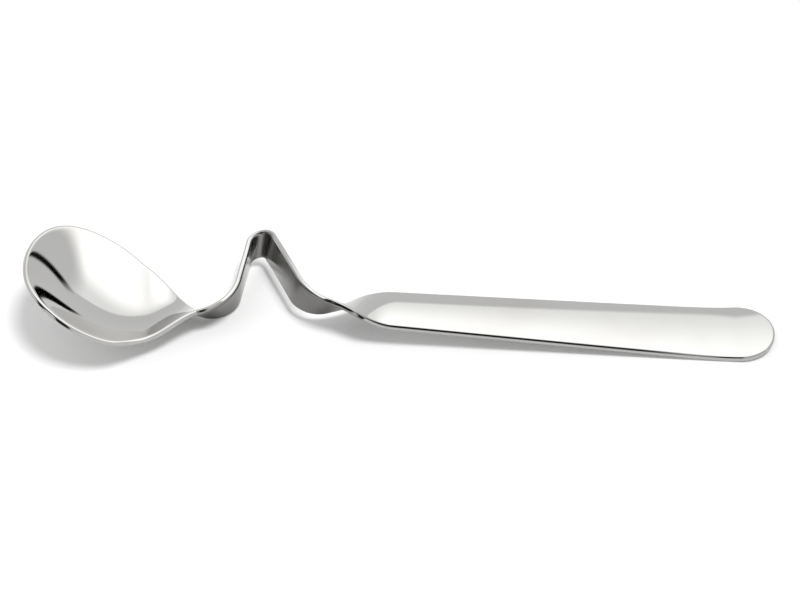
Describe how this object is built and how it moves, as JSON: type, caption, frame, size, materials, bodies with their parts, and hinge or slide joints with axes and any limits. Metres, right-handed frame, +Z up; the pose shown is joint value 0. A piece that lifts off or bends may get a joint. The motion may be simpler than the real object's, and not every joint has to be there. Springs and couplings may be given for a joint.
{
  "type": "jam spoon",
  "caption": "Polished steel jam spoon with an egg-shaped bowl, a twisted neck bent sideways into a jar-rim hook, and a flat tapered handle.",
  "frame": {"origin": "middle of the footprint, on the surface the spoon lies on", "axes": "+X along the spoon from the bowl's tip to the handle's end, +Y out to the crest of the hook, +Z up out of the bowl"},
  "size_m": [0.1752, 0.0416, 0.0188],
  "materials": {
    "steel": "mirror-polished stainless steel, with faint lengthways polish lines"
  },
  "bodies": {
    "root": {"bowl": "steel", "front_neck": "steel", "hook": "steel", "back_neck": "steel", "handle": "steel"}
  },
  "joints": []
}
